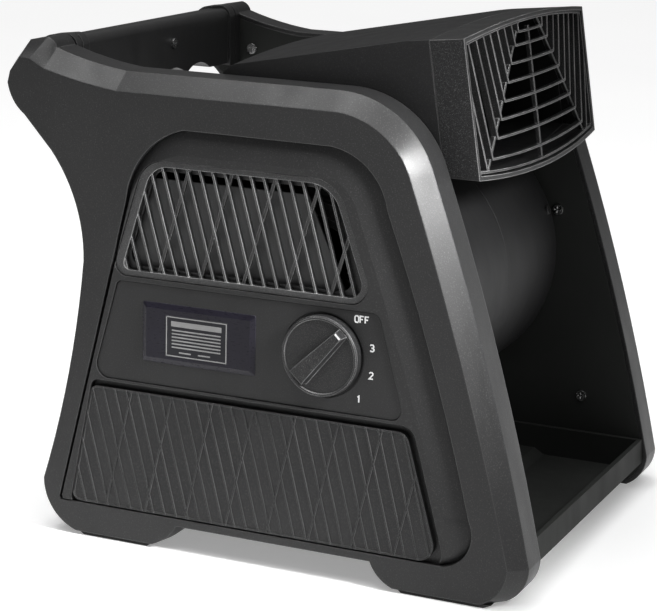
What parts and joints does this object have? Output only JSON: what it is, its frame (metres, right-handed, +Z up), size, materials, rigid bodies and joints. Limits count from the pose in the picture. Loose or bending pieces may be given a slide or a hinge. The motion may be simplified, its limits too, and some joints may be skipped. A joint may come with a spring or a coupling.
{
  "type": "pivoting utility blower fan",
  "caption": "Portable blower: two side shells with a cross grip and base tray hold a centrifugal fan head that tilts to aim its barred outlet.",
  "frame": {"origin": "on the floor under the middle of the whole machine's bounding box", "axes": "+X out of the air outlet, -Y out of the side with the speed knob, +Z up"},
  "size_m": [0.3455, 0.305, 0.3323],
  "materials": {
    "shell_plastic": "fine sand texture",
    "liner_plastic": "fine sand texture",
    "panel_plastic": "fine sand texture",
    "grille_plastic": "fine sand texture",
    "pad_plastic": "fine sand texture with ridges",
    "grip_plastic": "fine sand texture",
    "blower_plastic": "fine sand texture",
    "foot_rubber": "matt",
    "window_gloss": "smooth gloss",
    "label_foil": "printed foil",
    "print_ink": "printed",
    "knob_plastic": "satin",
    "black_screws": "black oxide",
    "shaft_steel": "turned",
    "switch_plastic": "moulded",
    "motor_metal": "satin",
    "motor_iron": "laminated stack",
    "wheel_plastic": "moulded"
  },
  "bodies": {
    "housing": {"side_shell_control": "shell_plastic", "side_shell_plain": "shell_plastic", "foot_pads": "foot_rubber", "side_liner_control": "liner_plastic", "side_liner_plain": "liner_plastic", "liner_screws": "black_screws", "pivot_rings": "liner_plastic", "side_panel_control": "panel_plastic", "side_panel_plain": "panel_plastic", "intake_grille_control": "grille_plastic", "intake_grille_plain": "grille_plastic", "intake_baffles": "grille_plastic", "kick_pad_control": "pad_plastic", "kick_pad_plain": "pad_plastic", "control_plate": "panel_plastic", "blank_plate": "panel_plastic", "label_window": "window_gloss", "label_plate": "label_foil", "label_print": "print_ink", "dial_marks": "print_ink", "speed_switch": "switch_plastic", "run_capacitor": "motor_metal", "capacitor_clip": "motor_metal", "terminal_block": "switch_plastic", "grip_outer": "grip_plastic", "grip_inner": "grip_plastic", "grip_screw": "black_screws", "base_tray": "liner_plastic", "cord_gland": "foot_rubber"},
    "knob": {"speed_knob": "knob_plastic", "knob_mark": "print_ink", "knob_shaft": "shaft_steel"},
    "head": {"volute_control": "blower_plastic", "volute_plain": "blower_plastic", "nozzle_frame": "blower_plastic", "outlet_grille": "blower_plastic", "inlet_bells": "blower_plastic", "pivot_collars": "blower_plastic", "collar_clips": "blower_plastic", "collar_screws": "black_screws", "motor_can": "motor_metal", "motor_ends": "motor_metal", "motor_stator": "motor_iron", "motor_band": "motor_metal", "casing_screws": "black_screws"},
    "rotor": {"motor_rotor": "motor_iron", "motor_shaft": "shaft_steel", "wheel_control": "wheel_plastic", "wheel_plain": "wheel_plastic", "wheel_nuts": "shaft_steel"}
  },
  "joints": [
    {"name": "head_tilt", "type": "hinge", "parent": "housing", "child": "head", "pos_m": [0.0175, 0.0061, 0.1605], "axis": [0, -1, 0], "range_deg": [-20, 75]},
    {"name": "rotor_spin", "type": "hinge", "parent": "head", "child": "rotor", "pos_m": [0.0175, 0.0061, 0.1605], "axis": [0, 1, 0], "continuous": true},
    {"name": "knob_turn", "type": "hinge", "parent": "housing", "child": "knob", "pos_m": [0.0433, -0.1389, 0.1398], "axis": [0, 1, 0], "range_deg": [0, 99]}
  ]
}
